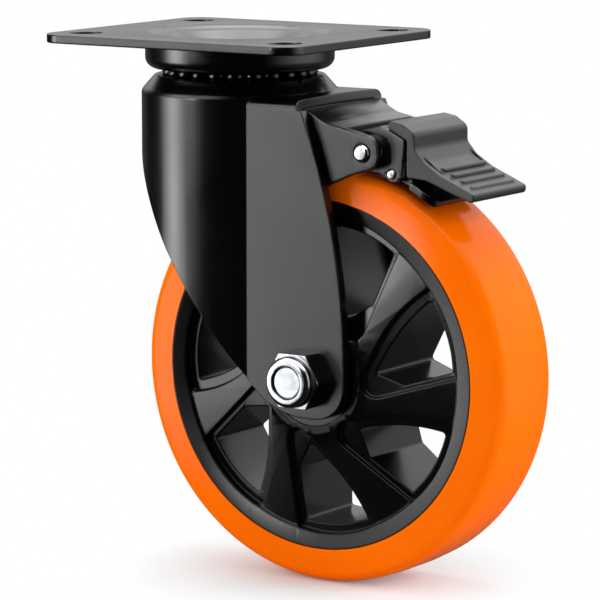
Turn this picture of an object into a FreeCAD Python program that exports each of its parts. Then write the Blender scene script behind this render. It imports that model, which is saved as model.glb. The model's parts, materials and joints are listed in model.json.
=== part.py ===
import FreeCAD, Part
import math
import os

import Sketcher
from FreeCAD import Vector

# A swivel castor: a bolted top plate with a stamped ball race, a trailing fork, a solid-tyred
# wheel on two ball bearings, and a foot brake whose shoe is pressed onto the tread.
# Millimetres. The origin is the centre of the plate's top face, on the swivel axis.
# +Z is up, +X points to the trailing side with the brake, and the axle lies along Y.

SIZES = {
    # top plate with its stamped recess
    "plate_length": 108.0,
    "plate_width": 98.0,
    "plate_gauge": 3.2,
    "plate_corner": 9.0,
    "bolt_edge_long": 11.5,
    "bolt_edge_wide": 14.0,
    "bolt_hole": 12.0,
    "recess_radius": 34.0,
    "ledge_radius": 31.0,
    "ledge_depth": 1.5,
    "bowl_radius": 25.5,
    "bowl_floor_radius": 19.0,
    "bowl_depth": 5.5,
    # swivel head: races, balls and kingpin
    "race_radius": 34.0,
    "race_bore_radius": 20.0,
    "race_wall": 2.4,
    "race_height": 9.6,
    "race_floor": 3.6,
    "race_round": 4.0,
    "head_gap": 2.4,
    "ball_size": 6.4,
    "ball_track": 24.8,
    "ball_play": 0.1,
    "lower_ball_size": 5.0,
    "lower_ball_track": 18.0,
    "lower_groove": 0.8,
    "lower_race_radius": 22.0,
    "lower_race_floor": 3.0,
    "neck_radius": 12.5,
    "neck_clearance": 1.0,
    "kingpin_size": 12.0,
    "kingpin_head_height": 4.2,
    "kingpin_tail": 2.0,
    "washer_gauge": 1.5,
    "washer_radius": 12.0,
    "nut_flats": 19.0,
    "nut_height": 10.0,
    "bore_clearance": 0.1,
    # fork
    "fork_gauge": 4.0,
    "dome_radius": 30.6,
    "dome_inset": 3.0,
    "dome_round": 1.0,
    "flange_drop": 5.3,
    "flange_gauge": 3.3,
    "shoulder_round": 3.2,
    "skirt_radius": 35.3,
    "fork_width": 56.0,
    "flange_reach": 46.9,
    "leg_top_reach": 44.2,
    "front_cut_drop": 26.0,
    "knee_reach": 12.0,
    "knee_drop": 71.0,
    "knee_round": 200.0,
    "trail": 45.3,
    "tyre_top_drop": 42.8,
    "foot_depth": 14.2,
    "foot_rear": 16.7,
    "foot_front": 15.4,
    "foot_front_round": 30.0,
    "foot_rear_round": 12.0,
    "leg_bow": 234.0,
    # axle and bearings
    "axle_size": 12.0,
    "axle_head_height": 7.5,
    "axle_nut_hex": 7.2,
    "axle_nut_collar": 3.8,
    "axle_collar_size": 18.2,
    "axle_tip_chamfer": 0.8,
    "axle_tip_sink": 0.7,
    "sleeve_size": 15.0,
    "bearing_size": 35.0,
    "bearing_width": 11.0,
    "bearing_ring": 3.0,
    "bearing_inner_ring": 2.6,
    "bearing_inset": 0.5,
    "shield_gauge": 1.0,
    "shield_gap": 0.3,
    "hub_end_gap": 1.0,
    # wheel
    "wheel_radius": 75.0,
    "tyre_depth": 12.5,
    "rim_width": 37.7,
    "tread_shoulder": 5.5,
    "tyre_side_lean": 0.45,
    "rim_ring_width": 6.1,
    "rim_ring_lean": 0.75,
    "spoke_rim_half": 17.1,
    "spoke_hub_half": 22.0,
    "boss_wall": 3.0,
    "boss_flare": 1.3,
    "hub_bore_step": 3.0,
    "window_step": 2.5,
    "window_count": 7,
    # foot brake
    "bracket_gauge": 3.0,
    "bracket_start": 28.0,
    "bracket_fold": 44.0,
    "bracket_depth": 16.3,
    "bracket_web_end": 58.0,
    "bracket_web_level": 5.2,
    "pivot_reach": 66.9,
    "pivot_drop": 37.6,
    "pivot_size": 6.1,
    "pivot_proud": 1.2,
    "lever_gauge": 2.0,
    "lever_width": 37.0,
    "tongue_width": 24.0,
    "pedal_width": 36.0,
    "pedal_wall": 2.4,
    "rib_length": 27.7,
    "rib_width": 2.2,
    "rib_pitch": 4.3,
    "rib_slope": 26.0,
    "shoe_pin_reach": 8.7,
    "shoe_pin_drop": 7.3,
    "shoe_pin_size": 3.2,
    "shoe_pin_proud": 0.8,
    "shoe_width": 35.0,
    "shoe_neck": 30.0,
    "shoe_neck_length": 6.5,
    "shoe_gauge": 2.4,
    "shoe_gap": 2.2,
    "shoe_knuckle": 4.8,
    "shoe_length": 18.7,
    "shoe_corner": 6.0,
}

# Side profile of the brake ear behind the leg, from the pivot: (x, z, corner radius).
EAR_PROFILE = [
    (-15.3, 9.7, 8.0),
    (0.1, 6.6, 6.0),
    (5.9, 5.8, 5.0),
    (6.6, -4.6, 4.5),
    (-4.3, -7.9, 8.0),
    (-12.7, -11.6, 6.0),
    (-20.9, -16.4, 6.0),
    (-32.9, -12.4, 6.0),
]

# Side profile of the steel lever, from the pivot.
LEVER_PROFILE = [
    (-7.0, -6.8, 6.0),
    (4.2, -7.4, 3.0),
    (8.2, -10.2, 2.2),
    (12.6, -10.2, 2.4),
    (13.8, 4.6, 1.8),
    (4.2, 9.3, 5.0),
    (-7.0, 6.6, 6.0),
]

# Underside of the lever's web, from the pivot.
LEVER_HOLLOW = [
    (-12.0, -14.0, 0.0),
    (16.0, -14.0, 0.0),
    (16.0, 1.3, 0.0),
    (4.0, 7.1, 4.0),
    (-5.6, 4.9, 3.0),
    (-12.0, 1.0, 0.0),
]

# Side profile of the pedal cover, from the pivot.
PEDAL_PROFILE = [
    (6.8, 8.2, 0.0),
    (14.2, 4.6, 0.0),
    (14.2, -8.2, 1.0),
    (22.4, -8.8, 6.0),
    (30.7, -12.0, 20.0),
    (40.9, -15.5, 1.2),
    (41.4, -12.4, 1.4),
    (27.4, -6.4, 14.0),
    (21.1, -2.4, 6.0),
    (17.5, 1.8, 3.0),
    (17.5, 7.2, 3.0),
    (12.7, 10.3, 3.0),
    (6.8, 11.3, 1.2),
]

# Underside of the pedal's tread, from the pivot; the lever's tongue lies against it.
PEDAL_UNDERSIDE = [
    (14.9, 3.4),
    (15.1, 0.8),
    (19.4, -4.4),
    (26.3, -8.8),
    (36.9, -13.3),
]

# Root of the lever's tongue at the web, and how its thickness leans under the pedal.
TONGUE_ROOT = [
    (11.9, 3.4),
    (11.9, -0.3),
]
TONGUE_LEAN = (0.6, 0.8)

# Open corners of the hollow under the pedal, from its back edge round to its front lip.
PEDAL_OPENING = [
    (10.0, 3.4),
    (10.0, -30.0),
    (46.0, -30.0),
    (38.9, -14.1),
]

# Wheel window on the spoke faces and through the core. Each corner is its share of the way out
# from the bearing boss to the rim ring, its angle, and its rounding as a share of that way.
# On a larger wheel the roundings stop growing at WINDOW_ROOM of the rim ring's radius.
WINDOW_ROOM = 0.64
WINDOW_FACE = [
    (-0.092, -31.2, 0.148),
    (1.006, 3.8, 0.033),
    (1.072, 20.9, 1.281),
    (1.005, 37.7, 0.056),
    (0.539, 37.6, 1.449),
]
WINDOW_CORE = [
    (0.111, 7.0, 0.033),
    (0.404, -0.8, 0.042),
    (0.918, 5.6, 0.028),
    (0.961, 19.7, 1.170),
    (0.910, 33.6, 0.033),
    (0.548, 31.5, 1.727),
]

RIB_START = (26.2, -5.4)
RIB_COUNT = 4
UPPER_BALLS = 24
LOWER_BALLS = 18
AWAY = 60.0
FULL_TURN = 360.0
PIN_DOME = 0.9

doc = FreeCAD.newDocument("swivel_castor")
sheet = doc.addObject("Spreadsheet::Sheet", "sizes")
for row, (name, amount) in enumerate(SIZES.items(), start=1):
    sheet.set(f"A{row}", name)
    sheet.set(f"B{row}", str(amount))
    sheet.setAlias(f"B{row}", name)
doc.recompute()


class Size:
    """An amount together with the formula that ties it to the sheet."""

    def __init__(self, value, formula):
        self.value = value
        self.formula = formula

    def __add__(self, other):
        other = as_size(other)
        return Size(self.value + other.value, f"({self.formula} + {other.formula})")

    def __sub__(self, other):
        other = as_size(other)
        return Size(self.value - other.value, f"({self.formula} - {other.formula})")

    def __mul__(self, other):
        other = as_size(other)
        return Size(self.value * other.value, f"({self.formula} * {other.formula})")

    def __truediv__(self, other):
        other = as_size(other)
        return Size(self.value / other.value, f"({self.formula} / {other.formula})")

    def __neg__(self):
        return Size(-self.value, f"(0 - {self.formula})")


def as_size(item):
    """A plain number becomes a Size with itself as the formula."""
    if isinstance(item, Size):
        return item
    text = f"{item:.6g}"
    return Size(float(item), text if item >= 0 else f"(0 - {text[1:]})")


def size(name):
    """The named cell of the sheet."""
    return Size(float(sheet.get(name)), f"sizes.{name}")


def cosine(angle):
    return Size(math.cos(math.radians(angle.value)), f"cos({angle.formula})")


def sine(angle):
    return Size(math.sin(math.radians(angle.value)), f"sin({angle.formula})")


def direction(x, y):
    """Angle of the point (x, y), in degrees."""
    return Size(math.degrees(math.atan2(y.value, x.value)), f"(atan2({y.formula}; {x.formula}) / 1 deg)")


def root(item):
    return Size(math.sqrt(item.value), f"sqrt({item.formula})")


def smaller(first, second):
    return Size(min(first.value, second.value), f"min({first.formula}; {second.formula})")


def bind(item, prop, amount):
    """Tie a property to the sheet."""
    item.setExpression(prop, as_size(amount).formula)


def spot(x, y):
    return Vector(as_size(x).value, as_size(y).value, 0)


def place(sketch, item, end, x, y):
    """Hold one end of a sketch item at (x, y) from the sketch's origin."""
    for kind, axis, amount in (("DistanceX", -2, as_size(x)), ("DistanceY", -1, as_size(y))):
        if abs(amount.value) < 1e-9:
            sketch.addConstraint(Sketcher.Constraint("PointOnObject", item, end, axis))
            continue
        ends = (-1, 1, item, end) if amount.value > 0 else (item, end, -1, 1)
        amount = amount if amount.value > 0 else -amount
        index = sketch.addConstraint(Sketcher.Constraint(kind, *ends, amount.value))
        bind(sketch, f"Constraints[{index}]", amount)


def hold_radius(sketch, item, radius):
    index = sketch.addConstraint(Sketcher.Constraint("Radius", item, radius.value))
    bind(sketch, f"Constraints[{index}]", radius)


def arc_between(centre, radius, start, end):
    """Counter-clockwise arc from start to end."""
    first = math.atan2(start.y - centre.y, start.x - centre.x)
    last = math.atan2(end.y - centre.y, end.x - centre.x)
    if last <= first:
        last += 2 * math.pi
    return Part.ArcOfCircle(Part.Circle(centre, Vector(0, 0, 1), radius), first, last)


def bowed_edge(start, end, bow):
    """Arc from start to end; a positive bow has its centre on the left of the way."""
    along = end - start
    left = Vector(-along.y, along.x, 0).normalize()
    half = along.Length / 2
    radius = abs(bow.value)
    side = 1 if bow.value > 0 else -1
    centre = (start + end) * 0.5 + left * side * math.sqrt(radius * radius - half * half)
    if side > 0:
        return arc_between(centre, radius, start, end)
    return arc_between(centre, radius, end, start)


def outline(sketch, corners, bows=None):
    """Close an outline, counter-clockwise, through corners (x, y, radius).

    bows gives the radius of an edge that is an arc, by the number of its first corner.
    """
    bows = bows or {}
    count = len(corners)
    spots = [spot(corner[0], corner[1]) for corner in corners]
    radii = [as_size(corner[2]) if len(corner) > 2 else as_size(0) for corner in corners]
    arrive = list(spots)
    leave = list(spots)
    for i in range(count):
        if radii[i].value > 0:
            back = (spots[i - 1] - spots[i]).normalize()
            ahead = (spots[(i + 1) % count] - spots[i]).normalize()
            reach = radii[i].value / math.tan(back.getAngle(ahead) / 2)
            arrive[i] = spots[i] + back * reach
            leave[i] = spots[i] + ahead * reach
    edges = []
    for i in range(count):
        start, end = leave[i], arrive[(i + 1) % count]
        if i in bows:
            edges.append(sketch.addGeometry(bowed_edge(start, end, bows[i]), False))
        else:
            edges.append(sketch.addGeometry(Part.LineSegment(start, end), False))
    for i in range(count):
        before, after = edges[i - 1], edges[i]
        before_end = 1 if (i - 1) % count in bows and bows[(i - 1) % count].value < 0 else 2
        after_end = 2 if i in bows and bows[i].value < 0 else 1
        if radii[i].value == 0:
            sketch.addConstraint(Sketcher.Constraint("Coincident", before, before_end, after, after_end))
            place(sketch, after, after_end, corners[i][0], corners[i][1])
            continue
        back = (arrive[i] - spots[i]).normalize()
        ahead = (leave[i] - spots[i]).normalize()
        middle = (back + ahead).normalize()
        centre = spots[i] + middle * (radii[i].value / math.sin(back.getAngle(ahead) / 2))
        turns_left = (-back).cross(ahead).z > 0
        if turns_left:
            arc = arc_between(centre, radii[i].value, arrive[i], leave[i])
        else:
            arc = arc_between(centre, radii[i].value, leave[i], arrive[i])
        bend = sketch.addGeometry(arc, False)
        first, last = (1, 2) if turns_left else (2, 1)
        sketch.addConstraint(Sketcher.Constraint("Tangent", before, 2, bend, first))
        sketch.addConstraint(Sketcher.Constraint("Tangent", after, 1, bend, last))
        hold_radius(sketch, bend, radii[i])
        corner = sketch.addGeometry(Part.Point(spots[i]), True)
        sketch.addConstraint(Sketcher.Constraint("PointOnObject", corner, 1, before))
        sketch.addConstraint(Sketcher.Constraint("PointOnObject", corner, 1, after))
        place(sketch, corner, 1, corners[i][0], corners[i][1])
    for i, bow in bows.items():
        hold_radius(sketch, edges[i], bow if bow.value > 0 else -bow)


def circle(sketch, x, y, radius):
    item = sketch.addGeometry(Part.Circle(spot(x, y), Vector(0, 0, 1), radius.value), False)
    place(sketch, item, 3, x, y)
    hold_radius(sketch, item, radius)


def origin_item(body, role):
    return next(item for item in body.Origin.OriginFeatures if item.Role == role)


def new_body(name, x=None, z=None):
    """A body whose origin lies at (x, 0, z)."""
    body = doc.addObject("PartDesign::Body", name)
    body.Label = name
    if x is not None:
        bind(body, "Placement.Base.x", x)
        bind(body, "Placement.Base.z", z)
    return body


def new_sketch(body, role, lift=None):
    """A sketch on an origin plane of the body, lifted along the plane's normal."""
    sketch = body.newObject("Sketcher::SketchObject", f"{body.Name}_sketch")
    sketch.AttachmentSupport = [(origin_item(body, role), "")]
    sketch.MapMode = "FlatFace"
    if lift is not None:
        bind(sketch, "AttachmentOffset.Base.z", lift)
    return sketch


def pad(body, sketch, length, symmetric=True):
    feature = body.newObject("PartDesign::Pad", f"{body.Name}_pad")
    feature.Profile = sketch
    feature.SideType = "Symmetric" if symmetric else "One side"
    bind(feature, "Length", length)
    return feature


def pocket(body, sketch, length=None, symmetric=True, reverse=False):
    """Cut the sketch's area away, all the way through unless a length is given."""
    feature = body.newObject("PartDesign::Pocket", f"{body.Name}_pocket")
    feature.Profile = sketch
    feature.SideType = "Symmetric" if symmetric else "One side"
    feature.Reversed = reverse
    if length is None:
        feature.Type = "ThroughAll"
    else:
        bind(feature, "Length", length)
    return feature


def turn(body, sketch, axis, groove=False):
    """Revolve the sketch right round one of its own axes."""
    kind = "Groove" if groove else "Revolution"
    feature = body.newObject(f"PartDesign::{kind}", f"{body.Name}_{kind.lower()}")
    feature.Profile = sketch
    feature.ReferenceAxis = (sketch, [axis])
    return feature


def turned_upright(name, corners):
    """A piece turned about the swivel axis; corners are (radius, height, round)."""
    body = new_body(name)
    sketch = new_sketch(body, "XZ_Plane")
    outline(sketch, corners)
    turn(body, sketch, "V_Axis")
    return body


def turned_across(name, corners, x, z):
    """A piece turned about a cross axis at (x, z); corners are (across, radius, round)."""
    body = new_body(name, x, z)
    sketch = new_sketch(body, "YZ_Plane")
    outline(sketch, corners)
    turn(body, sketch, "H_Axis")
    return body


def ring_section(inner, outer, low, high):
    """Section of a plain ring in a sketch whose first axis is the radius."""
    return [(inner, low), (outer, low), (outer, high), (inner, high)]


def across_section(near, far, inner, outer):
    """Section of a plain ring in a sketch whose first axis runs across the castor."""
    return [(near, inner), (far, inner), (far, outer), (near, outer)]


def hexagon(sketch, flats):
    """Hexagon about the sketch's origin, with two corners on its first axis."""
    reach = flats / root(as_size(3))
    corners = []
    for step in range(6):
        angle = as_size(FULL_TURN / 6 * step)
        corners.append((reach * cosine(angle), reach * sine(angle)))
    outline(sketch, corners)


# Levels down the swivel axis, each below the one before.
plate_under = -size("plate_gauge")
bowl_floor = -size("bowl_depth")
bowl_under = bowl_floor - size("plate_gauge")
race_bottom = plate_under - size("race_height")
race_floor_top = race_bottom + size("race_floor")
fork_top = race_bottom - size("head_gap")
fork_under = fork_top - size("fork_gauge")
ball_level = (race_bottom + fork_top) / 2
flange_top = fork_top - size("flange_drop")
flange_under = flange_top - size("flange_gauge")
lower_ball_level = fork_under - size("lower_ball_size") / 2 + size("lower_groove")
lower_race_top = lower_ball_level - size("lower_ball_size") / 2 + size("lower_groove")
lower_race_under = lower_race_top - size("lower_race_floor")
kingpin_seat = lower_race_under - size("washer_gauge")
kingpin_end = kingpin_seat - size("nut_height") - size("kingpin_tail")
kingpin_radius = size("kingpin_size") / 2
kingpin_bore = kingpin_radius + size("bore_clearance")

# Places of the axle, the brake's pivot and the shoe's pin, and widths from the middle.
trail = size("trail")
axle_level = -(size("tyre_top_drop") + size("wheel_radius"))
rim_radius = size("wheel_radius") - size("tyre_depth")
ring_radius = rim_radius - size("rim_ring_width")
leg_outer = size("fork_width") / 2
leg_inner = leg_outer - size("fork_gauge")
axle_radius = size("axle_size") / 2
hub_half = leg_inner - size("hub_end_gap")
bearing_outside = hub_half - size("bearing_inset")
bearing_inside = bearing_outside - size("bearing_width")
bearing_radius = size("bearing_size") / 2
boss_radius = bearing_radius + size("boss_wall")
sleeve_radius = size("sleeve_size") / 2
pivot_x = size("pivot_reach")
pivot_z = -size("pivot_drop")
pivot_radius = size("pivot_size") / 2
ear_outer = leg_inner
ear_inner = ear_outer - size("bracket_gauge")
lever_outer = size("lever_width") / 2
lever_inner = lever_outer - size("lever_gauge")
pin_x = pivot_x + size("shoe_pin_reach")
pin_z = pivot_z - size("shoe_pin_drop")
pin_radius = size("shoe_pin_size") / 2


def make_top_plate():
    """Rolled plate with four bolt holes and a stamped recess that hides the kingpin."""
    body = new_body("top_plate")
    gauge = size("plate_gauge")
    half_length = size("plate_length") / 2
    half_width = size("plate_width") / 2
    corner = size("plate_corner")
    sheet_sketch = new_sketch(body, "XY_Plane", plate_under)
    outline(sheet_sketch, [
        (-half_length, -half_width, corner),
        (half_length, -half_width, corner),
        (half_length, half_width, corner),
        (-half_length, half_width, corner),
    ])
    pad(body, sheet_sketch, gauge, symmetric=False)
    dish = new_sketch(body, "XZ_Plane")
    ledge_under = plate_under - size("ledge_depth")
    outline(dish, [
        (0, bowl_under),
        (size("bowl_floor_radius") + gauge / 2, bowl_under),
        (size("bowl_radius") + gauge / 2, ledge_under),
        (size("ledge_radius"), ledge_under),
        (size("ledge_radius") + size("ledge_depth") / 3, plate_under + gauge / 3),
        (0, plate_under + gauge / 3),
    ])
    turn(body, dish, "V_Axis")
    recess = new_sketch(body, "XZ_Plane")
    outline(recess, [
        (0, bowl_floor),
        (size("bowl_floor_radius"), bowl_floor, 2.0),
        (size("bowl_radius"), -size("ledge_depth"), 0.8),
        (size("ledge_radius"), -size("ledge_depth"), 2.0),
        (size("recess_radius"), 0),
        (size("recess_radius"), gauge),
        (0, gauge),
    ])
    turn(body, recess, "V_Axis", groove=True)
    bores = new_sketch(body, "XY_Plane")
    circle(bores, 0, 0, kingpin_bore)
    pitch_long = size("plate_length") - size("bolt_edge_long") * 2
    pitch_wide = size("plate_width") - size("bolt_edge_wide") * 2
    for side_x in (-0.5, 0.5):
        for side_y in (-0.5, 0.5):
            circle(bores, pitch_long * side_x, pitch_wide * side_y, size("bolt_hole") / 2)
    pocket(body, bores)
    return body


def track_groove(body, radius, level, ball):
    """Ball track of round section, with a little play about the balls."""
    groove = new_sketch(body, "XZ_Plane")
    circle(groove, radius, level, ball / 2 + size("ball_play"))
    turn(body, groove, "V_Axis", groove=True)


def make_upper_race():
    """Pressed cup under the plate, with the upper ball track in its floor."""
    outer = size("race_radius")
    wall = outer - size("race_wall")
    body = turned_upright("upper_race", [
        (size("race_bore_radius"), race_bottom),
        (outer, race_bottom, size("race_round")),
        (outer, plate_under),
        (wall, plate_under),
        (wall, race_floor_top, size("race_round") / 2),
        (size("race_bore_radius"), race_floor_top),
    ])
    track_groove(body, size("ball_track"), ball_level, size("ball_size"))
    return body


def make_kingpin():
    """Hexagon-headed kingpin, its head sunk in the plate's bowl."""
    body = new_body("kingpin")
    shank = new_sketch(body, "XZ_Plane")
    outline(shank, [
        (0, kingpin_end),
        (kingpin_radius - size("axle_tip_chamfer"), kingpin_end),
        (kingpin_radius, kingpin_end + size("axle_tip_chamfer")),
        (kingpin_radius, bowl_floor),
        (0, bowl_floor),
    ])
    turn(body, shank, "V_Axis")
    head = new_sketch(body, "XY_Plane", bowl_floor)
    hexagon(head, size("nut_flats"))
    pad(body, head, size("kingpin_head_height"), symmetric=False)
    return body


def make_lower_race():
    """Flanged bush under the fork: its neck bears on the plate, its flange carries the lower balls."""
    neck = size("neck_radius")
    body = turned_upright("lower_race", [
        (kingpin_bore, lower_race_under),
        (size("lower_race_radius"), lower_race_under),
        (size("lower_race_radius"), lower_race_top),
        (neck, lower_race_top),
        (neck, bowl_under),
        (kingpin_bore, bowl_under),
    ])
    track_groove(body, size("lower_ball_track"), lower_ball_level, size("lower_ball_size"))
    return body


def make_kingpin_nut():
    """Hexagon nut that holds the head together."""
    body = new_body("kingpin_nut")
    sketch = new_sketch(body, "XY_Plane", kingpin_seat - size("nut_height"))
    hexagon(sketch, size("nut_flats"))
    circle(sketch, 0, 0, kingpin_bore)
    pad(body, sketch, size("nut_height"), symmetric=False)
    return body


def make_balls(name, count, radius, level, ball):
    """A full ring of loose balls."""
    balls = []
    for step in range(count):
        item = doc.addObject("Part::Sphere", f"{name}_{step}")
        angle = as_size(FULL_TURN * step / count)
        bind(item, "Radius", ball / 2)
        bind(item, "Placement.Base.x", radius * cosine(angle))
        bind(item, "Placement.Base.y", radius * sine(angle))
        bind(item, "Placement.Base.z", level)
        balls.append(item)
    ring = doc.addObject("Part::Compound", name)
    ring.Links = balls
    return ring


def make_fork():
    """Pressed fork: a domed head, a round front skirt and two flat legs in one sheet."""
    body = new_body("fork")
    gauge = size("fork_gauge")
    skirt = size("skirt_radius")
    crown = size("dome_radius")
    rounding = size("shoulder_round")
    foot_level = axle_level - size("foot_depth")
    below = foot_level - gauge
    head = new_sketch(body, "XZ_Plane")
    outline(head, [
        (0, below),
        (skirt, below),
        (skirt, flange_top, rounding),
        (crown, fork_top, size("dome_round")),
        (0, fork_top),
    ])
    turn(body, head, "V_Axis")
    legs = new_sketch(body, "YZ_Plane")
    outline(legs, [
        (-leg_outer, below),
        (leg_outer, below),
        (leg_outer, flange_top, rounding),
        (-leg_outer, flange_top, rounding),
    ])
    pad(body, legs, trail + size("foot_rear"), symmetric=False)
    side = new_sketch(body, "XZ_Plane")
    ahead = -(skirt + gauge)
    foot_rear = trail + size("foot_rear")
    bow_foot = foot_level + size("foot_rear_round") + size("foot_depth") / 2
    flange_end = size("flange_reach") + gauge
    outline(side, [
        (ahead, gauge),
        (ahead, -size("front_cut_drop")),
        (-size("knee_reach"), -size("knee_drop"), size("knee_round")),
        (trail - size("foot_front"), foot_level, size("foot_front_round")),
        (foot_rear, foot_level, size("foot_rear_round")),
        (foot_rear, bow_foot),
        (size("leg_top_reach"), flange_under),
        (flange_end, flange_under),
        (flange_end, gauge),
    ], {5: size("leg_bow")})
    outline(side, [
        (-AWAY * 2, below - gauge),
        (AWAY * 2, below - gauge),
        (AWAY * 2, gauge * 2),
        (-AWAY * 2, gauge * 2),
    ])
    pocket(body, side)
    rear = new_sketch(body, "XY_Plane", flange_under)
    reach = size("flange_reach")
    sagitta = reach - size("leg_top_reach")
    bow = leg_outer * leg_outer / (sagitta * 2) + sagitta / 2
    past = leg_outer + gauge
    corner = reach - bow + root(bow * bow - past * past)
    outline(rear, [
        (corner, -past),
        (as_size(AWAY * 2), -past),
        (as_size(AWAY * 2), past),
        (corner, past),
    ], {3: bow})
    pocket(body, rear, gauge * 2, symmetric=False, reverse=True)
    hollow = new_sketch(body, "XY_Plane", flange_under)
    inner_radius = skirt - gauge
    meet = root(inner_radius * inner_radius - leg_inner * leg_inner)
    outline(hollow, [
        (meet, -leg_inner),
        (as_size(AWAY * 2), -leg_inner),
        (as_size(AWAY * 2), leg_inner),
        (meet, leg_inner),
        (-inner_radius, as_size(0)),
    ], {3: inner_radius, 4: inner_radius})
    pocket(body, hollow, symmetric=False)
    dome = new_sketch(body, "XZ_Plane")
    outline(dome, [
        (0, flange_under - size("dome_round")),
        (crown, flange_under - size("dome_round")),
        (crown - size("dome_inset"), fork_under, size("dome_round")),
        (0, fork_under),
    ])
    turn(body, dome, "V_Axis", groove=True)
    neck = new_sketch(body, "XY_Plane")
    circle(neck, 0, 0, size("neck_radius") + size("neck_clearance"))
    pocket(body, neck)
    track_groove(body, size("ball_track"), ball_level, size("ball_size"))
    track_groove(body, size("lower_ball_track"), lower_ball_level, size("lower_ball_size"))
    bore = new_sketch(body, "XZ_Plane")
    circle(bore, trail, axle_level, axle_radius + size("bore_clearance"))
    pocket(body, bore)
    return body


def make_brake_bracket():
    """Folded bracket under the fork's flange, with an ear inside each leg."""
    body = new_body("brake_bracket", pivot_x, pivot_z)
    gauge = size("bracket_gauge")
    top = flange_under - pivot_z
    start = size("bracket_start") - pivot_x
    fold = size("bracket_fold") - pivot_x
    slope_x, slope_z, slope_round = EAR_PROFILE[0]
    side = new_sketch(body, "XZ_Plane")
    outline(side, [(start, top), (start, top - size("bracket_depth"))] + EAR_PROFILE[::-1]
            + [(fold, top)])
    pad(body, side, ear_outer * 2)
    inside = new_sketch(body, "XZ_Plane")
    web_end = size("bracket_web_end") - pivot_x
    outline(inside, [
        (start - gauge, -AWAY),
        (as_size(AWAY), -AWAY),
        (as_size(AWAY), AWAY),
        (web_end, AWAY),
        (web_end, size("bracket_web_level")),
        (as_size(slope_x), as_size(slope_z) - gauge, slope_round),
        (fold, top - gauge, slope_round / 2),
        (start - gauge, top - gauge),
    ])
    pocket(body, inside, ear_inner * 2)
    bore = new_sketch(body, "XZ_Plane")
    circle(bore, 0, 0, pivot_radius + size("bore_clearance"))
    pocket(body, bore)
    return body


def make_axle_bolt():
    """Hexagon bolt through the legs, its head on the far side."""
    tip = -(leg_outer + size("axle_nut_hex") + size("axle_nut_collar") - size("axle_tip_sink"))
    chamfer = size("axle_tip_chamfer")
    body = turned_across("axle_bolt", [
        (tip, 0),
        (leg_outer, 0),
        (leg_outer, axle_radius),
        (tip + chamfer, axle_radius),
        (tip, axle_radius - chamfer),
    ], trail, axle_level)
    head = new_sketch(body, "XZ_Plane", -leg_outer)
    hexagon(head, size("nut_flats"))
    feature = pad(body, head, size("axle_head_height"), symmetric=False)
    feature.Reversed = True
    return body


def make_axle_nut():
    """Self-locking nut: a hexagon with a round collar, on the near side."""
    body = new_body("axle_nut", trail, axle_level)
    hex_part = new_sketch(body, "XZ_Plane", leg_outer)
    hexagon(hex_part, size("nut_flats"))
    circle(hex_part, 0, 0, axle_radius + size("bore_clearance"))
    pad(body, hex_part, size("axle_nut_hex"), symmetric=False)
    collar = new_sketch(body, "YZ_Plane")
    near = -(leg_outer + size("axle_nut_hex"))
    far = near - size("axle_nut_collar")
    outer = size("axle_collar_size") / 2
    outline(collar, [
        (far, axle_radius + size("bore_clearance")),
        (near, axle_radius + size("bore_clearance")),
        (near, outer),
        (far, outer, size("axle_nut_collar") / 2),
    ])
    turn(body, collar, "H_Axis")
    return body


def make_bearing(side, sign):
    """Sealed ball bearing: rings, shield and the spacer between inner ring and leg."""
    inside = bearing_inside * sign
    outside = bearing_outside * sign
    low, high = (inside, outside) if sign > 0 else (outside, inside)
    outer = across_section(low, high, bearing_radius - size("bearing_ring"), bearing_radius)
    inner = across_section(low, high, sleeve_radius, sleeve_radius + size("bearing_inner_ring"))
    shield_edge = outside - size("shield_gauge") * sign
    near, far = (shield_edge, outside) if sign > 0 else (outside, shield_edge)
    shield = across_section(near, far, sleeve_radius + size("bearing_inner_ring") + size("shield_gap"),
                            bearing_radius - size("bearing_ring"))
    face = leg_inner * sign
    near, far = (outside, face) if sign > 0 else (face, outside)
    spacer = across_section(near, far, sleeve_radius, sleeve_radius + size("bearing_inner_ring"))
    return [
        turned_across(f"bearing_outer_{side}", outer, trail, axle_level),
        turned_across(f"bearing_inner_{side}", inner, trail, axle_level),
        turned_across(f"bearing_shield_{side}", shield, trail, axle_level),
        turned_across(f"axle_spacer_{side}", spacer, trail, axle_level),
    ]


def make_hub():
    """Moulded wheel centre: a bearing boss and dished spokes with windows between them."""
    body = new_body("hub", trail, axle_level)
    core_bore = bearing_radius - size("hub_bore_step")
    rim_half = size("rim_width") / 2
    spoke_half = size("spoke_rim_half")
    flare_half = size("spoke_hub_half")
    ring_half = rim_half - size("rim_ring_lean")
    right_side = [
        (bearing_inside, core_bore),
        (bearing_inside, bearing_radius),
        (hub_half, bearing_radius),
        (hub_half, boss_radius),
        (flare_half, boss_radius + size("boss_flare")),
        (spoke_half, ring_radius),
        (ring_half, ring_radius),
        (rim_half, rim_radius),
    ]
    section = new_sketch(body, "YZ_Plane")
    outline(section, right_side + [(-y, radius) for y, radius in reversed(right_side)])
    turn(body, section, "H_Axis")
    windows(body, WINDOW_FACE)
    step = size("window_step")
    core = new_sketch(body, "YZ_Plane")
    core_right = [
        (flare_half - step, boss_radius - size("hub_bore_step") / 2),
        (flare_half - step, boss_radius + size("boss_flare")),
        (spoke_half - step, (ring_radius + rim_radius) / 2),
    ]
    outline(core, core_right + [(-y, radius) for y, radius in reversed(core_right)])
    turn(body, core, "H_Axis")
    windows(body, WINDOW_CORE)
    return body


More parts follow.
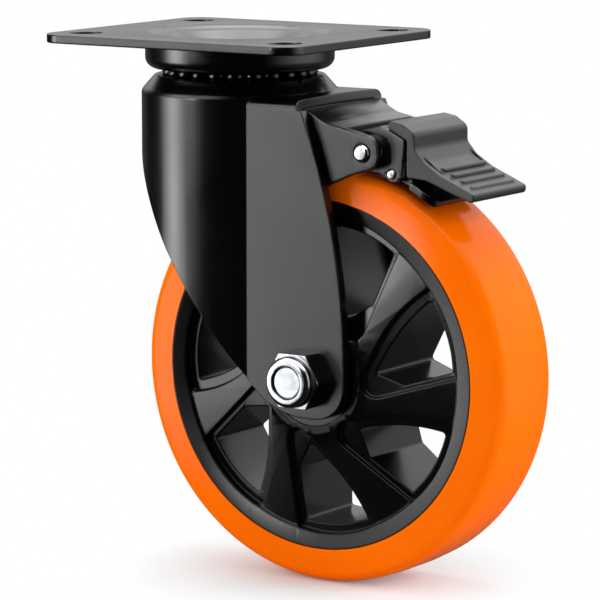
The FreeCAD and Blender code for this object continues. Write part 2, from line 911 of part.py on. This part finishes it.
def windows(body, corners):
    """Cut one window right through and repeat it round the wheel."""
    sketch = new_sketch(body, "XZ_Plane")
    way = ring_radius - boss_radius
    room = smaller(way, ring_radius * WINDOW_ROOM)
    spots = []
    for share, angle, rounding in corners:
        reach = boss_radius + way * share
        turned = as_size(angle)
        spots.append((reach * cosine(turned), reach * sine(turned), room * rounding))
    outline(sketch, spots)
    cut = pocket(body, sketch)
    pattern = body.newObject("PartDesign::PolarPattern", f"{body.Name}_windows")
    pattern.Originals = [cut]
    pattern.Axis = (origin_item(body, "Y_Axis"), [""])
    pattern.Angle = FULL_TURN
    bind(pattern, "Occurrences", size("window_count"))
    body.Tip = pattern


def make_tyre():
    """Solid polyurethane tyre bonded round the rim."""
    half = size("rim_width") / 2
    shoulder = half - size("tyre_side_lean")
    return turned_across("tyre", [
        (-half, rim_radius),
        (half, rim_radius),
        (shoulder, size("wheel_radius"), size("tread_shoulder")),
        (-shoulder, size("wheel_radius"), size("tread_shoulder")),
    ], trail, axle_level)


def make_pivot_pin():
    """Pin that carries the brake lever between the ears, with domed ends."""
    end = ear_outer + size("pivot_proud")
    dome = size("pivot_proud") * PIN_DOME
    return turned_across("pivot_pin", [
        (-end, 0),
        (end, 0),
        (end, pivot_radius, dome),
        (-end, pivot_radius, dome),
    ], pivot_x, pivot_z)


def make_lever_frame():
    """Folded steel lever: two cheeks, a web over the pivot and a tongue under the pedal."""
    body = new_body("lever_frame", pivot_x, pivot_z)
    side = new_sketch(body, "XZ_Plane")
    outline(side, LEVER_PROFILE)
    pad(body, side, lever_outer * 2)
    hollow = new_sketch(body, "XZ_Plane")
    outline(hollow, LEVER_HOLLOW)
    pocket(body, hollow, lever_inner * 2)
    tongue = new_sketch(body, "XZ_Plane")
    gauge = size("lever_gauge")
    upper = [(as_size(x), as_size(z)) for x, z in PEDAL_UNDERSIDE]
    lower = [(x - gauge * TONGUE_LEAN[0], z - gauge * TONGUE_LEAN[1]) for x, z in upper[2:]]
    outline(tongue, TONGUE_ROOT + lower + list(reversed(upper)))
    pad(body, tongue, size("tongue_width"))
    bores = new_sketch(body, "XZ_Plane")
    circle(bores, 0, 0, pivot_radius + size("bore_clearance"))
    circle(bores, size("shoe_pin_reach"), -size("shoe_pin_drop"), pin_radius)
    pocket(body, bores)
    return body


def make_pedal_cover():
    """Moulded tread over the lever, hollow below, with four raised ribs."""
    body = new_body("pedal_cover", pivot_x, pivot_z)
    side = new_sketch(body, "XZ_Plane")
    outline(side, PEDAL_PROFILE)
    pad(body, side, size("pedal_width"))
    hollow = new_sketch(body, "XZ_Plane")
    upper = [(as_size(x), as_size(z)) for x, z in PEDAL_UNDERSIDE]
    outline(hollow, PEDAL_OPENING + list(reversed(upper)))
    pocket(body, hollow, size("pedal_width") - size("pedal_wall") * 2)
    ribs = new_sketch(body, "XZ_Plane")
    for step in range(RIB_COUNT):
        along = size("rib_pitch") * step
        circle(ribs, along * cosine(size("rib_slope")) + RIB_START[0],
               -(along * sine(size("rib_slope"))) + RIB_START[1], size("rib_width") / 2)
    pad(body, ribs, size("rib_length"))
    return body


def make_brake_shoe():
    """Curved steel shoe on a knuckle round its pin, clear of the tyre at rest."""
    body = new_body("brake_shoe", pin_x, pin_z)
    centre_x = trail - pin_x
    centre_z = axle_level - pin_z
    inner = size("wheel_radius") + size("shoe_gap")
    outer = inner + size("shoe_gauge")
    start = direction(-centre_x, -centre_z)
    end = start - size("shoe_length") / inner * (180 / math.pi)
    side = new_sketch(body, "XZ_Plane")
    outline(side, [
        (centre_x + inner * cosine(start), centre_z + inner * sine(start)),
        (centre_x + inner * cosine(end), centre_z + inner * sine(end)),
        (centre_x + outer * cosine(end), centre_z + outer * sine(end)),
        (centre_x + outer * cosine(start), centre_z + outer * sine(start)),
    ], {0: -inner, 2: outer})
    pad(body, side, size("shoe_width"))
    plan = new_sketch(body, "XY_Plane")
    half_width = size("shoe_width") / 2
    half_neck = size("shoe_neck") / 2
    shoulder = size("shoe_neck_length")
    tip = centre_x + outer * cosine(end)
    outline(plan, [
        (-size("shoe_knuckle"), -half_neck),
        (shoulder, -half_neck),
        (shoulder, -half_width),
        (tip, -half_width, size("shoe_corner")),
        (tip, half_width, size("shoe_corner")),
        (shoulder, half_width),
        (shoulder, half_neck),
        (-size("shoe_knuckle"), half_neck),
    ])
    outline(plan, [
        (-AWAY, -AWAY),
        (AWAY, -AWAY),
        (AWAY, AWAY),
        (-AWAY, AWAY),
    ])
    pocket(body, plan)
    knuckle = new_sketch(body, "XZ_Plane")
    circle(knuckle, 0, 0, size("shoe_knuckle") / 2)
    pad(body, knuckle, size("shoe_neck"))
    bore = new_sketch(body, "XZ_Plane")
    circle(bore, 0, 0, pin_radius + size("bore_clearance") / 2)
    pocket(body, bore)
    return body


def make_parts():
    """Every sub-part, in the order of the assembly."""
    washer = ring_section(kingpin_bore, size("washer_radius"), kingpin_seat, lower_race_under)
    sleeve = across_section(-leg_inner, leg_inner, axle_radius + size("bore_clearance"), sleeve_radius)
    pin_end = lever_outer + size("shoe_pin_proud")
    collar = size("pivot_size")
    parts = [
        make_top_plate(),
        make_upper_race(),
        make_kingpin(),
        make_lower_race(),
        turned_upright("kingpin_washer", washer),
        make_kingpin_nut(),
        make_balls("upper_balls", UPPER_BALLS, size("ball_track"), ball_level, size("ball_size")),
        make_balls("lower_balls", LOWER_BALLS, size("lower_ball_track"), lower_ball_level,
                   size("lower_ball_size")),
        make_fork(),
        make_brake_bracket(),
        make_axle_bolt(),
        make_axle_nut(),
        turned_across("axle_sleeve", sleeve, trail, axle_level),
        make_hub(),
        make_tyre(),
        make_pivot_pin(),
        turned_across("pivot_washer_left", across_section(-ear_inner, -lever_outer, pivot_radius
                      + size("bore_clearance"), collar), pivot_x, pivot_z),
        turned_across("pivot_washer_right", across_section(lever_outer, ear_inner, pivot_radius
                      + size("bore_clearance"), collar), pivot_x, pivot_z),
        make_lever_frame(),
        make_pedal_cover(),
        turned_across("shoe_pin", [(-pin_end, 0), (pin_end, 0), (pin_end, pin_radius, 0.5),
                                   (-pin_end, pin_radius, 0.5)], pin_x, pin_z),
        make_brake_shoe(),
    ]
    return parts + make_bearing("left", -1) + make_bearing("right", 1)


def check_and_write(parts):
    """Stop on any failed object, then write each sub-part to its own file."""
    doc.recompute()
    for item in doc.Objects:
        if "Invalid" in item.State or "Error" in item.State:
            raise RuntimeError(f"{item.Name} is {item.State}")
    for item in parts:
        if item.Shape.isNull() or not item.Shape.isValid():
            raise RuntimeError(f"{item.Label} has no valid shape")
    os.makedirs("parts", exist_ok=True)
    for item in parts:
        item.Shape.exportStep(f"parts/{item.Label}.step")
        print(item.Label, round(item.Shape.Volume, 1), len(item.Shape.Solids))


check_and_write(make_parts())
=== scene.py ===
# Looks of a swivel castor with a foot brake, in metres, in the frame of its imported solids.
# The origin is the centre of the plate's top face. +Z is up, +X is the brake's side, and the
# axle lies along Y with its nut on the -Y side. Angles are in degrees.

import json
import math

import bmesh
import bpy
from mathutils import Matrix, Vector
from mathutils.bvhtree import BVHTree


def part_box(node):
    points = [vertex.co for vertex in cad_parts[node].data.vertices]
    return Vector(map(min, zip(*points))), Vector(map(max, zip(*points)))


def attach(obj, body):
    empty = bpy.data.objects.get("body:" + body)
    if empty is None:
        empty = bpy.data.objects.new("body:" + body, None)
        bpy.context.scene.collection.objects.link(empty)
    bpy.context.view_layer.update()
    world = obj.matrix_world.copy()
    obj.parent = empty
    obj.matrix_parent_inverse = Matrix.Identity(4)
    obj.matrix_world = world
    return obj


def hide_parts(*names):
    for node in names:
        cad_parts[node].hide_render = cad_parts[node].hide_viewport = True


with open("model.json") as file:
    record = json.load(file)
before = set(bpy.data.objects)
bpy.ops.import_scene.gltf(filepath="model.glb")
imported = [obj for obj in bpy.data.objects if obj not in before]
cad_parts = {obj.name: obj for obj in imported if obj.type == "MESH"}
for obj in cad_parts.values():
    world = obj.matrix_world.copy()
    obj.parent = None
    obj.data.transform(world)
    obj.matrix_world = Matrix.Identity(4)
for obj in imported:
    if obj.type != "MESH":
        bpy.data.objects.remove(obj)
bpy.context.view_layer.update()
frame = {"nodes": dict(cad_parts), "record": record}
nodes = frame["nodes"]
node_slots = {row["node"]: row["material_slot"] for row in frame["record"]["subparts"]}
node_bodies = {
    name: body for body, names in frame["record"]["behaviour"]["bodies"].items() for name in names
}
joint_places = {row["name"]: row["pos_m"] for row in frame["record"]["behaviour"]["joints"]}

# Section of the tyre. Its sides lean in, and its crown begins at a share of the half width.
AXLE = Vector(joint_places["wheel_spin"])
RIM_RADIUS = 0.0625
TYRE_RADIUS = 0.075
TYRE_HALF = 0.01885
TYRE_LEAN = 8.0
TYRE_SHOULDER = 0.0048
SHOULDER_END = 84.0
SHOULDER_STEPS = 10
TYRE_CROWN = 0.0004
CROWN_START = 0.35
CROWN_DROP = 0.12
TYRE_STEPS = 192

# Balls of the swivel head.
BALL_COUNTS = {"upper_balls": 24, "lower_balls": 18}
BALL_SEGMENTS = 28
BALL_RINGS = 14

# The kingpin's head sinks out of sight in the plate's recess.
KINGPIN_HEAD_LEVEL = -0.0045
KINGPIN_HEAD_DROP = 0.0030

# Round of each piece's sharp edges, and the least fold that is rounded. A rounded edge stands off
# the solid's surface by no more than ROUND_DRIFT of its round.
EDGE_ROUNDS = {
    "top_plate": (0.0005, 70.0),
    "fork": (0.0004, 38.0),
    "brake_bracket": (0.0005, 38.0),
    "lever_frame": (0.0004, 38.0),
    "pedal_cover": (0.0004, 38.0),
    "brake_shoe": (0.0002, 38.0),
    "hub": (0.0005, 38.0),
}
ROUND_DRIFT = 0.45
ROUND_SEGMENTS = 3
FLAT_ANGLE = 0.6
CREASE_ANGLE = 32.0
TYRE_CREASE_ANGLE = 40.0
MERGE_DISTANCE = 1e-6

# Floor under the wheel. Within SHADOW_REACH of its middle the shadow shows, outside it is white.
FLOOR_LEVEL = AXLE.z - TYRE_RADIUS
FLOOR_SIZE = 40.0
SHADOW_MIDDLE = (0.04, 0.0, 0.0)
SHADOW_REACH = (0.015, 0.075)
SHADOW_LIFT = 0.1

# Softboxes that only gloss sees: the bearing of the middle, the half widths between which the
# light fades, and its strength.
STRIP_BOX = (-50.0, 2.0, 20.0, 9.5)
RIM_BOX = (116.0, 10.0, 45.0, 1.5)
WIDE_BOX = (-30.0, 25.0, 40.0, 3.2)
SPARK_BOX = (-24.5, 2.5, 5.0, 40.0)

# Heights between which those lights come in or fade, as the upward part of a direction.
ABOVE_GROUND = (-0.36, -0.22)
UNDER_CEILING = (0.75, 0.45)
STRIP_FADE = (0.0, 0.12)
STRIP_TOP = 0.2
WIDE_RISE = (0.24, 0.4)
SPARK_RISE = (-0.03, 0.03)
SPARK_FADE = (0.16, 0.08)
CEILING_RISE = (0.62, 0.85)
CEILING_GLOW = 5.0
WALL_RISE = (0.0, 0.5)
WALL_GLOW = (0.1, 1.9)
WALL_START = (0.1, 0.45)
ROOM_GLOW = 0.012
PLAIN_LIGHT = 0.32

LAMP_TARGET = (0.02, 0.0, -0.1)
CAMERA_PLACE = (0.7368, -1.0855, 0.1041)
CAMERA_TARGET = (0.0257, 0.0, -0.0952)
CAMERA_LENS = 220.0
CAMERA_SENSOR = 36.0


class Socket:
    """A node's output that can be used in arithmetic."""

    def __init__(self, paint, socket):
        self.paint = paint
        self.socket = socket

    def _math(self, operation, first, second):
        return self.paint.node("ShaderNodeMath", {"operation": operation}, {0: first, 1: second})

    def __add__(self, other):
        return self._math("ADD", self, other)

    def __sub__(self, other):
        return self._math("SUBTRACT", self, other)

    def __rsub__(self, other):
        return self._math("SUBTRACT", other, self)

    def __mul__(self, other):
        return self._math("MULTIPLY", self, other)

    __radd__ = __add__
    __rmul__ = __mul__


class Paint:
    """Builds the nodes of one material, world or repeated shape."""

    def __init__(self, tree):
        self.tree = tree
        tree.nodes.clear()

    def node(self, kind, settings=None, inputs=None, output=0):
        item = self.tree.nodes.new(kind)
        for name, value in (settings or {}).items():
            setattr(item, name, value)
        for name, value in (inputs or {}).items():
            if isinstance(value, Socket):
                self.tree.links.new(value.socket, item.inputs[name])
            else:
                item.inputs[name].default_value = value
        return Socket(self, item.outputs[output]) if len(item.outputs) else None

    def outputs(self, kind, *names):
        """Several outputs of one node."""
        item = self.tree.nodes.new(kind)
        return [Socket(self, item.outputs[name]) for name in names]

    def place(self):
        return self.node("ShaderNodeTexCoord", output="Object")

    def noise(self, scale, detail):
        return self.node("ShaderNodeTexNoise", None, {
            "Vector": self.place(), "Scale": scale, "Detail": detail, "Roughness": 0.5}, "Fac")

    def between(self, value, low, high, at_low=0.0, at_high=1.0):
        """Straight ramp from one value to another, level outside it."""
        return self.node("ShaderNodeMapRange", None, {
            "Value": value, "From Min": low, "From Max": high,
            "To Min": at_low, "To Max": at_high})

    def tones(self, cloud, first, second, start=0.3):
        """Two colours that follow a cloud of noise."""
        factor = self.between(cloud, start, 0.7)
        return self.node("ShaderNodeMix", {"data_type": "RGBA"}, {0: factor, 6: first, 7: second}, 2)


def colour(red, green, blue):
    return (red, green, blue, 1.0)


WHITE = colour(1, 1, 1)


def new_material(name):
    material = bpy.data.materials.new(name)
    material.use_nodes = True
    return material, Paint(material.node_tree)


def finish_surface(paint, base, roughness, grain=None, strength=0.0, depth=0.0, edge=0.0, **plain):
    """Principled surface with a fine bump from a grain and softened edges, where they are given."""
    inputs = {"Base Color": base, "Roughness": roughness}
    if edge:
        inputs["Normal"] = paint.node("ShaderNodeBevel", {"samples": 6}, {"Radius": edge})
    if grain is not None:
        bump = {"Height": grain, "Strength": strength, "Distance": depth}
        if edge:
            bump["Normal"] = inputs["Normal"]
        inputs["Normal"] = paint.node("ShaderNodeBump", None, bump)
    inputs.update({name.replace("_", " "): value for name, value in plain.items()})
    surface = paint.node("ShaderNodeBsdfPrincipled", None, inputs)
    paint.node("ShaderNodeOutputMaterial", None, {"Surface": surface})


def painted_steel():
    """Black baked enamel with a faint orange peel and a soft grey bloom."""
    material, paint = new_material("black_enamel")
    cloud = paint.noise(38.0, 4.0)
    base = paint.tones(cloud, colour(0.0008, 0.0008, 0.0009), colour(0.002, 0.002, 0.0021))
    finish_surface(paint, base, paint.between(cloud, 0.25, 0.75, 0.21, 0.28),
                   paint.noise(900.0, 2.0), strength=0.05, depth=0.0002, edge=0.0006,
                   Specular_IOR_Level=0.5)
    return material


def hub_nylon():
    """Satin black nylon with the fine grain of the mould."""
    material, paint = new_material("satin_nylon")
    cloud = paint.noise(30.0, 3.0)
    base = paint.tones(cloud, colour(0.0014, 0.0014, 0.0015), colour(0.0028, 0.0028, 0.0029))
    finish_surface(paint, base, paint.between(cloud, 0.25, 0.75, 0.17, 0.23),
                   paint.noise(2600.0, 2.0), strength=0.05, depth=0.0001, edge=0.0007,
                   Specular_IOR_Level=0.18)
    return material


def pedal_plastic():
    """Duller black plastic with a coarser grain than the hub."""
    material, paint = new_material("pedal_plastic")
    cloud = paint.noise(70.0, 3.0)
    base = paint.tones(cloud, colour(0.006, 0.006, 0.0062), colour(0.01, 0.01, 0.0103))
    finish_surface(paint, base, paint.between(cloud, 0.25, 0.75, 0.4, 0.5),
                   paint.noise(2200.0, 3.0), strength=0.14, depth=0.0001, edge=0.0006,
                   Specular_IOR_Level=0.42)
    return material


def polyurethane():
    """Glossy orange polyurethane, a touch deeper in places, with a barely wavy skin."""
    material, paint = new_material("orange_polyurethane")
    cloud = paint.noise(16.0, 4.0)
    base = paint.tones(cloud, colour(0.95, 0.138, 0.0), colour(1.0, 0.175, 0.0))
    finish_surface(paint, base, paint.between(cloud, 0.25, 0.75, 0.13, 0.18),
                   paint.noise(120.0, 2.0), strength=0.03, depth=0.0002,
                   Specular_IOR_Level=0.06)
    return material


def zinc_steel():
    """Bright plated steel with slight stains and a fine unevenness."""
    material, paint = new_material("bright_plating")
    stain = paint.noise(240.0, 3.0)
    fine = paint.noise(1800.0, 2.0)
    base = paint.tones(stain, colour(0.5, 0.51, 0.52), colour(0.38, 0.39, 0.41), start=0.35)
    finish_surface(paint, base, paint.between(fine, 0.3, 0.7, 0.12, 0.22),
                   fine, strength=0.06, depth=0.0001, edge=0.0004, Metallic=1.0)
    return material


def bearing_steel():
    """Ground steel, its colour darkened as painted shade for the balls and rings that sit deep in
    gaps.
    """
    material, paint = new_material("ground_steel")
    fine = paint.noise(1500.0, 2.0)
    # Base colour far darker than bright steel: painted shade of the gaps the balls sit in, not the
    # steel's own tone.
    base = paint.tones(fine, colour(0.03, 0.03, 0.03), colour(0.05, 0.05, 0.05))
    finish_surface(paint, base, paint.between(fine, 0.3, 0.7, 0.16, 0.26), Metallic=1.0)
    return material


def seal_rubber():
    """Dull black seal."""
    material, paint = new_material("seal_rubber")
    fine = paint.noise(1200.0, 2.0)
    base = paint.tones(fine, colour(0.004, 0.004, 0.004), colour(0.007, 0.007, 0.007))
    finish_surface(paint, base, paint.between(fine, 0.3, 0.7, 0.5, 0.62),
                   fine, strength=0.1, depth=0.0001)
    return material


FINISHES = {
    "painted_steel": painted_steel(),
    "zinc_steel": zinc_steel(),
    "bearing_steel": bearing_steel(),
    "nylon": hub_nylon(),
    "pedal_plastic": pedal_plastic(),
    "polyurethane": polyurethane(),
    "seal_rubber": seal_rubber(),
}


def smooth_by_angle(mesh, degrees):
    """Shade faces smooth and keep the folds sharper than the angle."""
    work = bmesh.new()
    work.from_mesh(mesh)
    limit = math.radians(degrees)
    for face in work.faces:
        face.smooth = True
    for edge in work.edges:
        edge.smooth = edge.calc_face_angle(math.pi) < limit
    work.to_mesh(mesh)
    work.free()


def sink_kingpin_head(work):
    """Lower the kingpin's head further into the plate's recess."""
    for vert in work.verts:
        if vert.co.z > KINGPIN_HEAD_LEVEL:
            vert.co.z -= KINGPIN_HEAD_DROP


def round_folds(work, radius, least):
    """Give the folds sharper than an angle a small round that keeps close to the surface."""
    bmesh.ops.dissolve_limit(work, angle_limit=math.radians(FLAT_ANGLE), verts=work.verts,
                             edges=work.edges)
    surface = BVHTree.FromBMesh(work)
    folds = [edge for edge in work.edges if edge.calc_face_angle(0.0) > math.radians(least)]
    bmesh.ops.bevel(work, geom=folds, offset=radius, offset_type="OFFSET",
                    segments=ROUND_SEGMENTS, profile=0.5, affect="EDGES", clamp_overlap=False)
    for vert in work.verts:
        nearest, _, _, gap = surface.find_nearest(vert.co)
        if gap > radius * ROUND_DRIFT:
            vert.co = nearest
    bmesh.ops.triangulate(work, faces=[face for face in work.faces if len(face.verts) > 4])


def dress(name):
    """A node's own shape as one joined, smoothly shaded skin."""
    mesh = nodes[name].data.copy()
    work = bmesh.new()
    work.from_mesh(mesh)
    bmesh.ops.remove_doubles(work, verts=work.verts, dist=MERGE_DISTANCE)
    if name == "kingpin":
        sink_kingpin_head(work)
    if name in EDGE_ROUNDS:
        round_folds(work, *EDGE_ROUNDS[name])
    work.to_mesh(mesh)
    work.free()
    smooth_by_angle(mesh, CREASE_ANGLE)
    return mesh


def arc(middle, radius, start, end, steps):
    """Points of a round in a profile of (distance across, radius) pairs."""
    turns = [math.radians(start + (end - start) * step / steps) for step in range(steps + 1)]
    return [(middle[0] + radius * math.cos(turn), middle[1] + radius * math.sin(turn))
            for turn in turns]


def tyre_profile():
    """Round the tyre's section, in pairs of distance across and radius."""
    lean = math.radians(TYRE_LEAN)
    middle = TYRE_RADIUS - TYRE_CROWN - TYRE_SHOULDER
    meeting = middle + TYRE_SHOULDER * math.sin(lean)
    edge = TYRE_HALF - (meeting - RIM_RADIUS) * math.tan(lean)
    centre = (edge - TYRE_SHOULDER * math.cos(lean), middle)
    half = [(TYRE_HALF, RIM_RADIUS)]
    half += arc(centre, TYRE_SHOULDER, TYRE_LEAN, SHOULDER_END, SHOULDER_STEPS)
    half += [(edge * CROWN_START, TYRE_RADIUS - TYRE_CROWN * CROWN_DROP)]
    return half + [(-across, radius) for across, radius in reversed(half)]


def make_tyre():
    """Cast tyre, turned about the axle: leaning sides, soft shoulders and a barely crowned tread."""
    profile = tyre_profile()
    mesh = bpy.data.meshes.new("tyre_skin")
    work = bmesh.new()
    rings = []
    for step in range(TYRE_STEPS):
        turn = 2.0 * math.pi * step / TYRE_STEPS
        rings.append([
            work.verts.new((AXLE.x + radius * math.cos(turn), across,
                            AXLE.z + radius * math.sin(turn)))
            for across, radius in profile])
    for step, ring in enumerate(rings):
        following = rings[(step + 1) % TYRE_STEPS]
        for spot in range(len(profile)):
            beside = (spot + 1) % len(profile)
            work.faces.new((ring[spot], ring[beside], following[beside], following[spot]))
    bmesh.ops.recalc_face_normals(work, faces=work.faces)
    work.to_mesh(mesh)
    work.free()
    smooth_by_angle(mesh, TYRE_CREASE_ANGLE)
    return mesh


def ball_ring_tree(name):
    """Node tree of a ring of balls, and its inputs' identifiers by label."""
    tree = bpy.data.node_groups.new(name + "_ring", "GeometryNodeTree")
    tree.interface.new_socket("Geometry", in_out="OUTPUT", socket_type="NodeSocketGeometry")
    identifiers = {}
    for label, kind in (("Count", "NodeSocketInt"), ("Ring Radius", "NodeSocketFloat"),
                        ("Ball Radius", "NodeSocketFloat"), ("Level", "NodeSocketFloat")):
        socket = tree.interface.new_socket(label, in_out="INPUT", socket_type=kind)
        identifiers[label] = socket.identifier
    plan = Paint(tree)
    count, reach, ball, level = plan.outputs("NodeGroupInput", *identifiers)
    points = plan.node("GeometryNodeMeshCircle", None, {"Vertices": count, "Radius": reach})
    lifted = plan.node("ShaderNodeCombineXYZ", None, {"Z": level})
    placed = plan.node("GeometryNodeTransform", None, {"Geometry": points, "Translation": lifted})
    sphere = plan.node("GeometryNodeMeshUVSphere", None, {
        "Segments": BALL_SEGMENTS, "Rings": BALL_RINGS, "Radius": ball})
    balls = plan.node("GeometryNodeInstanceOnPoints", None, {"Points": placed, "Instance": sphere})
    solid = plan.node("GeometryNodeRealizeInstances", None, {"Geometry": balls})
    coated = plan.node("GeometryNodeSetMaterial", None, {
        "Geometry": solid, "Material": FINISHES["bearing_steel"]})
    plan.node("NodeGroupOutput", None, {"Geometry": coated})
    return tree, identifiers


def make_ball_ring(name):
    """A full ring of balls, as large and as far out as the node's own."""
    low, high = (Vector(corner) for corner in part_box(name))
    ball = (high.z - low.z) / 2
    sizes = {
        "Count": BALL_COUNTS[name],
        "Ring Radius": (high.y - low.y) / 2 - ball,
        "Ball Radius": ball,
        "Level": (high.z + low.z) / 2,
    }
    tree, identifiers = ball_ring_tree(name)
    host = bpy.data.objects.new(name + "_maker", bpy.data.meshes.new(name + "_maker"))
    bpy.context.scene.collection.objects.link(host)
    maker = host.modifiers.new("balls", "NODES")
    maker.node_group = tree
    for label, value in sizes.items():
        maker[identifiers[label]] = value
    ready = host.evaluated_get(bpy.context.evaluated_depsgraph_get())
    mesh = bpy.data.meshes.new_from_object(ready)
    bpy.data.objects.remove(host)
    smooth_by_angle(mesh, CREASE_ANGLE)
    return mesh


def show(mesh, name):
    """Put a finished mesh in the scene in place of a node."""
    piece = bpy.data.objects.new(name + "_skin", mesh)
    bpy.context.scene.collection.objects.link(piece)
    slot = node_slots[name]
    mesh.materials.clear()
    mesh.materials.append(FINISHES[slot])
    for polygon in mesh.polygons:
        polygon.material_index = 0
    if name in EDGE_ROUNDS:
        flats = piece.modifiers.new("flat_shading", "WEIGHTED_NORMAL")
        flats.weight = 100
        flats.keep_sharp = True
    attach(piece, node_bodies[name])
    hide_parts(name)


def ray_kinds(paint):
    """Masks for the camera's own rays and for mirrored ones."""
    return paint.outputs("ShaderNodeLightPath", "Is Camera Ray", "Is Glossy Ray")


def make_stage():
    """A wide white floor that keeps the soft shadow near the wheel, and that gloss doesn't see."""
    bpy.ops.mesh.primitive_plane_add(size=FLOOR_SIZE, location=(0, 0, FLOOR_LEVEL))
    floor = bpy.context.object
    floor.name = "floor"
    material, paint = new_material("studio_floor")
    seen, mirrored = ray_kinds(paint)
    spread = paint.node("ShaderNodeVectorMath", {"operation": "DISTANCE"},
                        {0: paint.place(), 1: SHADOW_MIDDLE}, "Value")
    lift = paint.between(spread, *SHADOW_REACH, SHADOW_LIFT, 1.0)
    plain = paint.node("ShaderNodeBsdfDiffuse", None, {"Color": colour(0.86, 0.86, 0.86)})
    bright = paint.node("ShaderNodeEmission", None, {"Color": WHITE, "Strength": 1.0})
    clear = paint.node("ShaderNodeBsdfTransparent", None, {"Color": WHITE})
    shown = paint.node("ShaderNodeMixShader", None, {0: seen * lift, 1: plain, 2: bright})
    mixed = paint.node("ShaderNodeMixShader", None, {0: mirrored, 1: shown, 2: clear})
    paint.node("ShaderNodeOutputMaterial", None, {"Surface": mixed})
    floor.data.materials.append(material)


def box_glow(paint, bearing, middle, inner, outer, strength):
    """Brightness of a softbox that stands at a bearing and fades between two half widths."""
    off = paint.node("ShaderNodeMath", {"operation": "ABSOLUTE"}, {0: bearing - math.radians(middle)})
    return paint.between(off, math.radians(inner), math.radians(outer), strength, 0.0)


def gloss_room(paint):
    """Brightness of a dark room with softboxes, by the direction that gloss looks in."""
    split = paint.tree.nodes.new("ShaderNodeSeparateXYZ")
    way = paint.node("ShaderNodeTexCoord", output="Generated")
    paint.tree.links.new(way.socket, split.inputs[0])
    across, deep, up = (Socket(paint, output) for output in split.outputs)
    bearing = paint.node("ShaderNodeMath", {"operation": "ARCTAN2"}, {0: across, 1: deep * -1.0})
    middle = paint.between(up, *UNDER_CEILING) * paint.between(up, *ABOVE_GROUND)
    strip = box_glow(paint, bearing, *STRIP_BOX) * middle
    strip = strip * paint.between(up, *STRIP_FADE, 1.0, STRIP_TOP)
    rim = box_glow(paint, bearing, *RIM_BOX) * middle
    wide = box_glow(paint, bearing, *WIDE_BOX) * paint.between(up, *WIDE_RISE) * middle
    level = paint.between(up, *SPARK_RISE) * paint.between(up, *SPARK_FADE)
    spark = box_glow(paint, bearing, *SPARK_BOX) * level
    ceiling = paint.between(up, *CEILING_RISE, 0.0, CEILING_GLOW)
    wall = paint.between(up, *WALL_RISE, *WALL_GLOW) * paint.between(deep, *WALL_START)
    return strip + rim + wide + ceiling + wall + spark + ROOM_GLOW


def backdrop(paint, strength):
    return paint.node("ShaderNodeBackground", None, {"Color": WHITE, "Strength": strength})


def make_world():
    """White for the camera, a dark room with softboxes for gloss, and a plain light for the rest."""
    world = bpy.data.worlds.new("studio")
    bpy.context.scene.world = world
    world.use_nodes = True
    paint = Paint(world.node_tree)
    seen, mirrored = ray_kinds(paint)
    unseen = paint.node("ShaderNodeMixShader", None, {
        0: mirrored, 1: backdrop(paint, PLAIN_LIGHT), 2: backdrop(paint, gloss_room(paint))})
    mixed = paint.node("ShaderNodeMixShader", None, {0: seen, 1: unseen, 2: backdrop(paint, 1.0)})
    paint.node("ShaderNodeOutputWorld", None, {"Surface": mixed})


def face_target(item, target):
    """Turn a lamp or camera towards a point."""
    item.rotation_euler = (Vector(target) - item.location).to_track_quat("-Z", "Y").to_euler()


def make_lamp(name, place, width, height, power):
    """Rectangular lamp that lights the castor without showing in its gloss."""
    lamp = bpy.data.lights.new(name, "AREA")
    lamp.shape = "RECTANGLE"
    lamp.size = width
    lamp.size_y = height
    lamp.energy = power
    item = bpy.data.objects.new(name, lamp)
    bpy.context.scene.collection.objects.link(item)
    item.location = place
    item.visible_glossy = False
    face_target(item, LAMP_TARGET)


def make_camera():
    lens = bpy.data.cameras.new("camera")
    lens.sensor_width = CAMERA_SENSOR
    lens.lens = CAMERA_LENS
    camera = bpy.data.objects.new("camera", lens)
    bpy.context.scene.collection.objects.link(camera)
    camera.location = CAMERA_PLACE
    face_target(camera, CAMERA_TARGET)
    bpy.context.scene.camera = camera


for name in nodes:
    if name in BALL_COUNTS:
        show(make_ball_ring(name), name)
    elif name == "tyre":
        show(make_tyre(), name)
    else:
        show(dress(name), name)

make_stage()
make_world()
make_lamp("left_box", (-0.95, -1.0, 0.3), width=0.9, height=1.1, power=15.0)
make_lamp("right_box", (1.2, 0.35, 0.35), width=0.7, height=0.9, power=12.0)
make_lamp("top_box", (0.1, 0.0, 1.0), width=0.6, height=0.6, power=7.0)
make_camera()
bpy.context.scene.view_settings.view_transform = "Standard"
